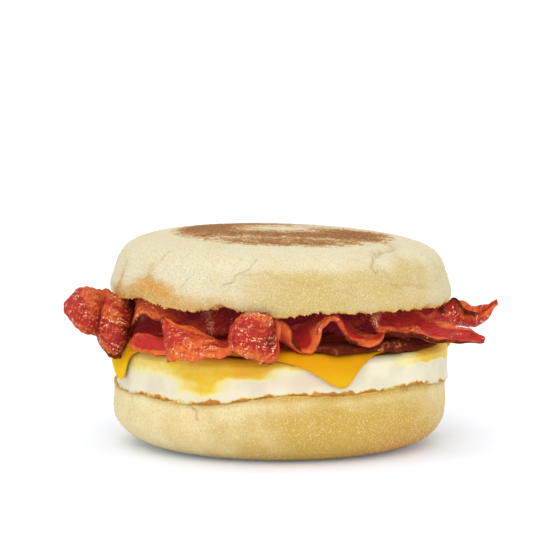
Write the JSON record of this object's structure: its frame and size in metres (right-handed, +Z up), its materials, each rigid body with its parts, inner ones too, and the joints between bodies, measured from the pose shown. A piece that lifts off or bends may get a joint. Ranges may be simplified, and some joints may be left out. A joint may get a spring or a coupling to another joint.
{
  "type": "breakfast sandwich",
  "caption": "Round toasted English muffin sandwich with a thick fried egg, a draped cheese slice and rippled bacon strips.",
  "frame": {"origin": "centre of the flat base, on the surface that the sandwich rests on", "axes": "+Z up through the layers, the front with the hanging cheese corner towards -Y, +X to the right"},
  "size_m": [0.1243, 0.1047, 0.0613],
  "materials": {
    "muffin": "dry baked crumb and crust, cream to tan, dusted with cornmeal and toasted brown on top",
    "egg": "soft satin cooked egg, white with yellow yolk patches",
    "cheese": "smooth satin processed cheese, deep yellow",
    "bacon": "fried bacon, red to orange-brown, wet with fat and blistered"
  },
  "bodies": {
    "root": {"muffin_bottom": "muffin", "egg": "egg", "cheese": "cheese", "bacon_under": "bacon", "bacon_front": "bacon", "bacon_middle": "bacon", "bacon_inner": "bacon", "bacon_back": "bacon", "muffin_top": "muffin"}
  },
  "joints": []
}
